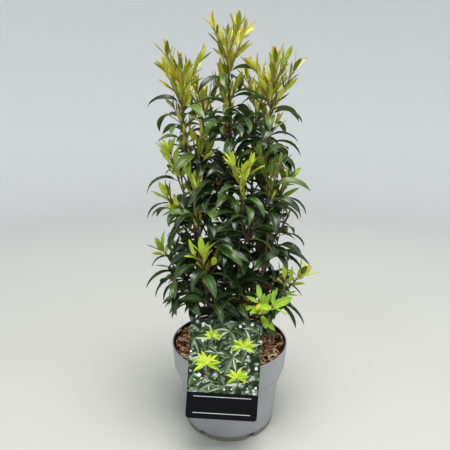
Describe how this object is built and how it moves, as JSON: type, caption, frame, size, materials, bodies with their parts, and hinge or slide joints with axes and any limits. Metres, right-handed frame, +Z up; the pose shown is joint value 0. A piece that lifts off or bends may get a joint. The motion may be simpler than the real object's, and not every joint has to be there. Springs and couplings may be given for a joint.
{
  "type": "portuguese laurel in a pot",
  "caption": "Evergreen laurel shrub grown as a bushy leafy column with upright young shoots, in a round plastic nursery pot with a plain plant card leaning on its rim.",
  "frame": {"origin": "middle of the pot's flat underside, on the surface it stands on", "axes": "+Z up along the plant, -Y towards the side with the plant card, +X to the right seen from that side"},
  "size_m": [0.2667, 0.2331, 0.6429],
  "materials": {
    "pot_plastic": "mid grey moulded plastic, satin, near black inside",
    "potting_mix": "damp potting mix covered with loose coir fibre and bark",
    "label_card": "printed card, glossy, a plain leaf pattern over a black band",
    "label_stake": "white moulded plastic strip",
    "bark": "dark maroon brown bark with fine cracks and pale pores",
    "old_foliage": "glossy leathery dark green leaves with a paler midrib",
    "young_foliage": "soft yellow green young leaves with bronze tips"
  },
  "bodies": {
    "root": {"bough_back_left": "bark", "bough_back_right": "bark", "bough_centre": "bark", "bough_front": "bark", "bough_front_left": "bark", "bough_front_right": "bark", "bough_left": "bark", "bough_right": "bark", "foliage_back_left_1": "old_foliage", "foliage_back_left_2": "old_foliage", "foliage_back_left_3": "old_foliage", "foliage_back_left_4": "old_foliage", "foliage_back_right_1": "old_foliage", "foliage_back_right_2": "old_foliage", "foliage_back_right_3": "old_foliage", "foliage_back_right_4": "old_foliage", "foliage_centre_1": "old_foliage", "foliage_centre_2": "old_foliage", "foliage_centre_3": "old_foliage", "foliage_centre_4": "old_foliage", "foliage_centre_5": "old_foliage", "foliage_front_1": "old_foliage", "foliage_front_2": "old_foliage", "foliage_front_3": "old_foliage", "foliage_front_left_1": "old_foliage", "foliage_front_left_2": "old_foliage", "foliage_front_right_1": "old_foliage", "foliage_front_right_2": "old_foliage", "foliage_front_right_3": "old_foliage", "foliage_inner_front": "old_foliage", "foliage_inner_left": "old_foliage", "foliage_left_1": "old_foliage", "foliage_left_2": "old_foliage", "foliage_left_3": "old_foliage", "foliage_left_4": "old_foliage", "foliage_right_1": "old_foliage", "foliage_right_2": "old_foliage", "foliage_right_3": "old_foliage", "foliage_right_4": "old_foliage", "head_back_left": "young_foliage", "head_back_right": "young_foliage", "head_centre": "young_foliage", "head_front": "young_foliage", "head_front_left": "young_foliage", "head_front_right": "young_foliage", "head_left": "young_foliage", "head_right": "young_foliage", "label_card": "label_card", "label_stake": "label_stake", "pot": "pot_plastic", "potting_mix": "potting_mix", "sprig_foot_right": "young_foliage", "sprig_front_left": "young_foliage", "sprig_low_left": "young_foliage", "sprig_low_right": "young_foliage", "sprig_mid_left": "young_foliage", "sprig_middle": "young_foliage", "sprig_upper_left": "young_foliage", "sprig_upper_right": "young_foliage", "trunk": "bark"}
  },
  "joints": []
}
